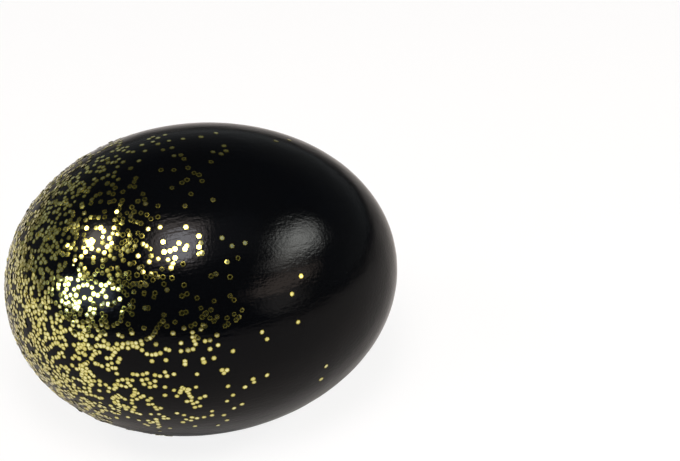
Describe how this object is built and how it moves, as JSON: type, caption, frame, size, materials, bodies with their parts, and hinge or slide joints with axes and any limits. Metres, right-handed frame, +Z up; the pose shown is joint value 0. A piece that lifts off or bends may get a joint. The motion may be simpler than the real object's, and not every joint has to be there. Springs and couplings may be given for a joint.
{
  "type": "easter egg",
  "caption": "Hen's egg painted glossy black and strewn with gold glitter at its blunt end, lying on its side on a small flat spot.",
  "frame": {"origin": "on the resting surface, under the middle of the egg's bounding box", "axes": "+X along the egg towards its pointed end, +Z up, and the glittered blunt end is at -X, raised 1.7 degrees by the egg's own balance"},
  "size_m": [0.057, 0.045, 0.0448],
  "materials": {
    "black_lacquer": "brushed-on glossy black lacquer over eggshell",
    "gold_glitter": "pale gold metallised film flakes under a thin clear coat"
  },
  "bodies": {
    "root": {"egg": "black_lacquer"}
  },
  "joints": []
}
